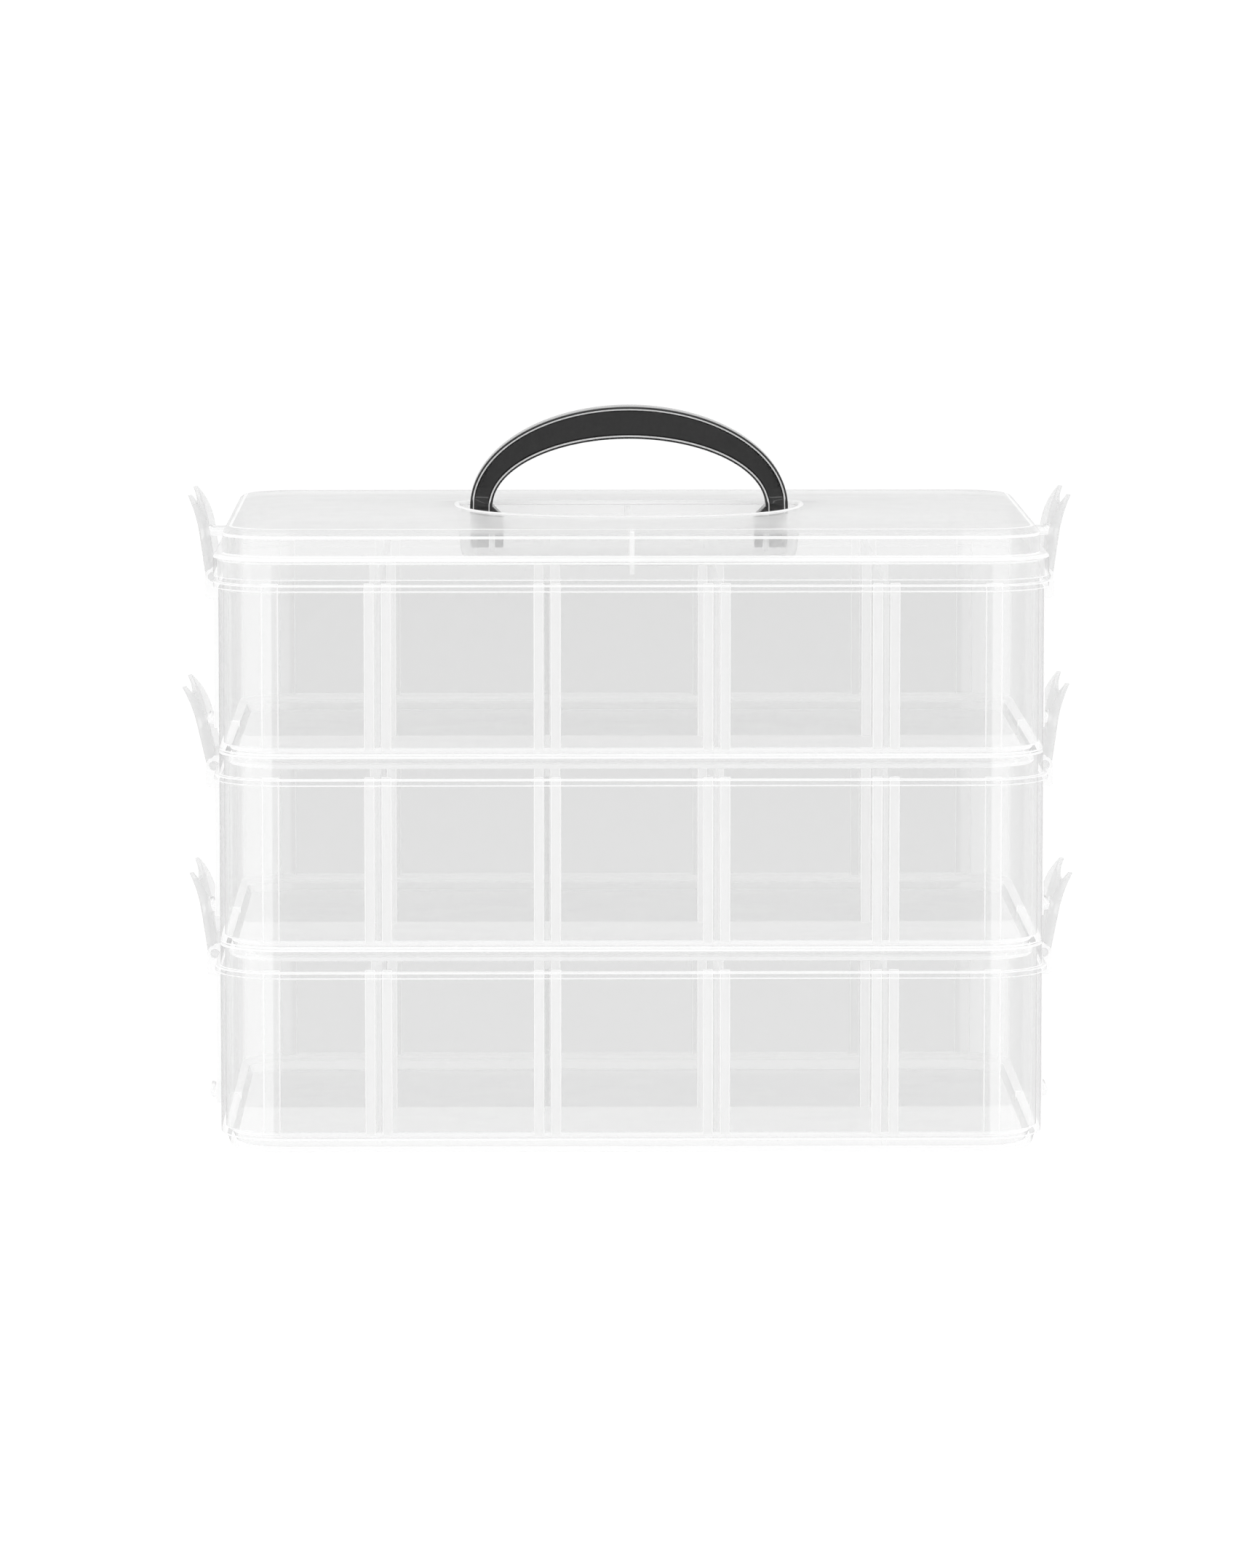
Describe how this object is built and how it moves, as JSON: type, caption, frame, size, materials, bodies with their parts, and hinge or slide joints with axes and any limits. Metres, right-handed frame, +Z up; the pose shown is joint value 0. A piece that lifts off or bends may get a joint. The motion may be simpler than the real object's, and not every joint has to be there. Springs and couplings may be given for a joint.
{
  "type": "parts organizer",
  "caption": "Clear stackable parts organizer: nesting compartment trays with loose dividers, side latches, and a lid with a fold-down arched carry handle.",
  "frame": {"origin": "centre of the base, on the surface that the organizer stands on", "axes": "+X along the long side towards the right-hand latches, +Y to the back, +Z up; the handle is raised at rest and folds forward, towards -Y"},
  "size_m": [0.2666, 0.165, 0.215],
  "materials": {
    "clear_tray": "clear, slightly milky polypropylene, smooth moulded gloss",
    "clear_divider": "clear, slightly milky polypropylene sheet, smooth moulded gloss",
    "clear_lid": "clear, slightly milky polypropylene, smooth moulded gloss",
    "clear_latch": "clear, slightly milky polypropylene, smooth moulded gloss",
    "handle_charcoal": "satin charcoal moulded plastic with polished edges"
  },
  "bodies": {
    "bottom_tier": {"tray_bottom": "clear_tray", "divider_bottom_front_1": "clear_divider", "divider_bottom_front_2": "clear_divider", "divider_bottom_front_3": "clear_divider", "divider_bottom_front_4": "clear_divider", "divider_bottom_back_1": "clear_divider", "divider_bottom_back_2": "clear_divider", "divider_bottom_back_3": "clear_divider", "divider_bottom_back_4": "clear_divider"},
    "middle_tier": {"tray_middle": "clear_tray", "divider_middle_front_1": "clear_divider", "divider_middle_front_2": "clear_divider", "divider_middle_front_3": "clear_divider", "divider_middle_front_4": "clear_divider", "divider_middle_back_1": "clear_divider", "divider_middle_back_2": "clear_divider", "divider_middle_back_3": "clear_divider", "divider_middle_back_4": "clear_divider"},
    "top_tier": {"tray_top": "clear_tray", "divider_top_front_1": "clear_divider", "divider_top_front_2": "clear_divider", "divider_top_front_3": "clear_divider", "divider_top_front_4": "clear_divider", "divider_top_back_1": "clear_divider", "divider_top_back_2": "clear_divider", "divider_top_back_3": "clear_divider", "divider_top_back_4": "clear_divider"},
    "lid": {"lid": "clear_lid"},
    "handle": {"handle": "handle_charcoal"},
    "latch_left_bottom": {"latch_left_bottom": "clear_latch"},
    "latch_right_bottom": {"latch_right_bottom": "clear_latch"},
    "latch_left_middle": {"latch_left_middle": "clear_latch"},
    "latch_right_middle": {"latch_right_middle": "clear_latch"},
    "latch_left_top": {"latch_left_top": "clear_latch"},
    "latch_right_top": {"latch_right_top": "clear_latch"}
  },
  "joints": [
    {"name": "middle_tier_lift", "type": "slide", "parent": "bottom_tier", "child": "middle_tier", "axis": [0, 0, 1], "range_m": [0, 0.06]},
    {"name": "top_tier_lift", "type": "slide", "parent": "middle_tier", "child": "top_tier", "axis": [0, 0, 1], "range_m": [0, 0.06]},
    {"name": "lid_lift", "type": "slide", "parent": "top_tier", "child": "lid", "axis": [0, 0, 1], "range_m": [0, 0.06]},
    {"name": "handle_fold", "type": "hinge", "parent": "lid", "child": "handle", "pos_m": [0, 0, 0.178], "axis": [1, 0, 0], "range_deg": [0, 90]},
    {"name": "latch_left_bottom_swing", "type": "hinge", "parent": "bottom_tier", "child": "latch_left_bottom", "pos_m": [-0.1243, 0, 0.052], "axis": [0, -1, 0], "range_deg": [-8.5, 161.5]},
    {"name": "latch_right_bottom_swing", "type": "hinge", "parent": "bottom_tier", "child": "latch_right_bottom", "pos_m": [0.1243, 0, 0.052], "axis": [0, 1, 0], "range_deg": [-11, 159]},
    {"name": "latch_left_middle_swing", "type": "hinge", "parent": "middle_tier", "child": "latch_left_middle", "pos_m": [-0.1243, 0, 0.1087], "axis": [0, -1, 0], "range_deg": [-13, 157]},
    {"name": "latch_right_middle_swing", "type": "hinge", "parent": "middle_tier", "child": "latch_right_middle", "pos_m": [0.1243, 0, 0.1087], "axis": [0, 1, 0], "range_deg": [-8, 162]},
    {"name": "latch_left_top_swing", "type": "hinge", "parent": "top_tier", "child": "latch_left_top", "pos_m": [-0.1243, 0, 0.1654], "axis": [0, -1, 0], "range_deg": [-8, 162]},
    {"name": "latch_right_top_swing", "type": "hinge", "parent": "top_tier", "child": "latch_right_top", "pos_m": [0.1243, 0, 0.1654], "axis": [0, 1, 0], "range_deg": [-8, 162]}
  ]
}
